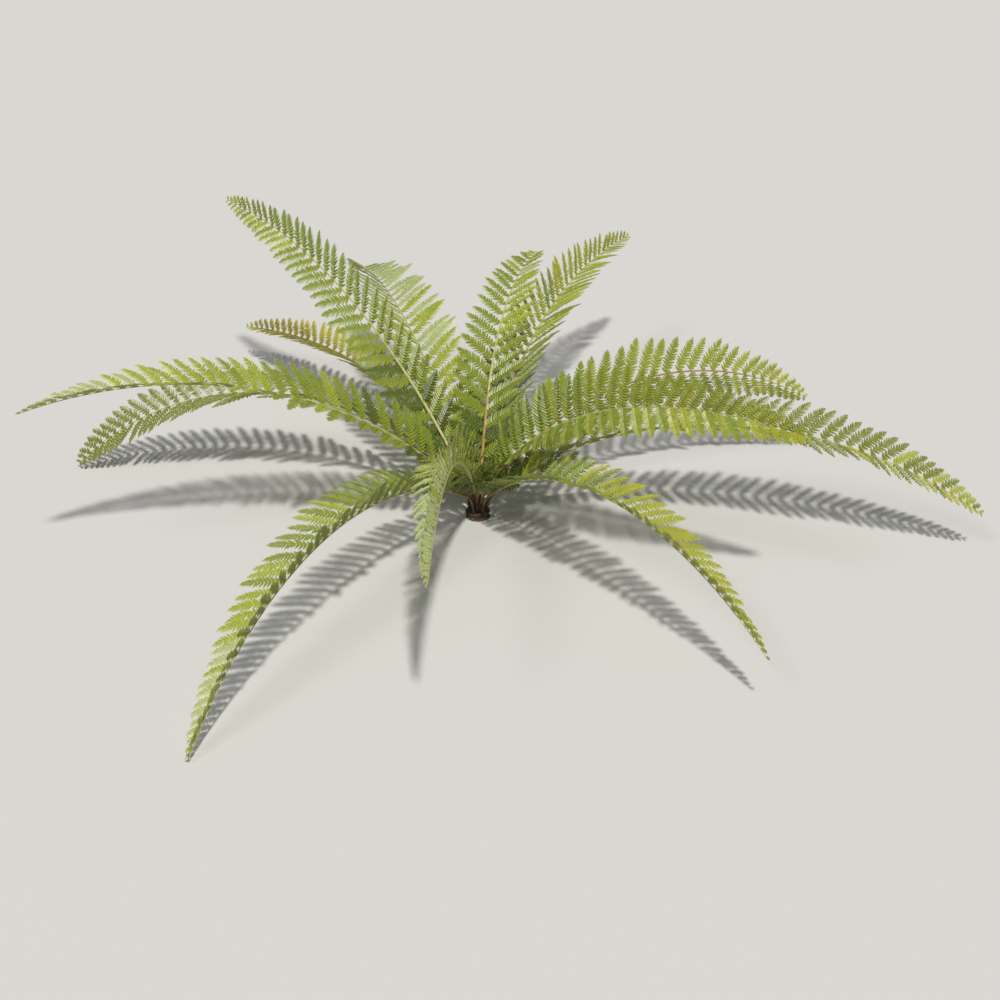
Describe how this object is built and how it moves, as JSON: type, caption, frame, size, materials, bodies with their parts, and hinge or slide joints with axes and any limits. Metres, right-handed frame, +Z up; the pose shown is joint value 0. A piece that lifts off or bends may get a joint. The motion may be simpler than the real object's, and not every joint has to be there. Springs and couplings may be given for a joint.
{
  "type": "young tree fern",
  "caption": "Young tree fern with no trunk yet: arching feathery fronds rise from a short scaly caudex that stands on a flat cut at ground level.",
  "frame": {"origin": "middle of the flat cut under the caudex, at ground level", "axes": "+Z up along the caudex; +X to the right and +Y away from someone who faces the front frond"},
  "size_m": [1.8388, 1.7531, 0.4961],
  "materials": {
    "caudex_scales": "rough brown scales and hairs",
    "fresh_green": "soft satin leaf, fresh green",
    "shaded_green": "soft satin leaf, duller green",
    "golden_green": "soft satin leaf, turning golden"
  },
  "bodies": {
    "root": {"caudex": "caudex_scales", "frond_front": "fresh_green", "frond_front_left": "fresh_green", "frond_front_right": "fresh_green", "frond_right_low": "shaded_green", "frond_right_high": "fresh_green", "frond_back_right_low": "shaded_green", "frond_back_right": "fresh_green", "frond_back_short": "fresh_green", "frond_back": "fresh_green", "frond_back_left_low": "golden_green", "frond_back_left": "fresh_green", "frond_left_low": "shaded_green", "frond_left_high": "fresh_green"}
  },
  "joints": []
}
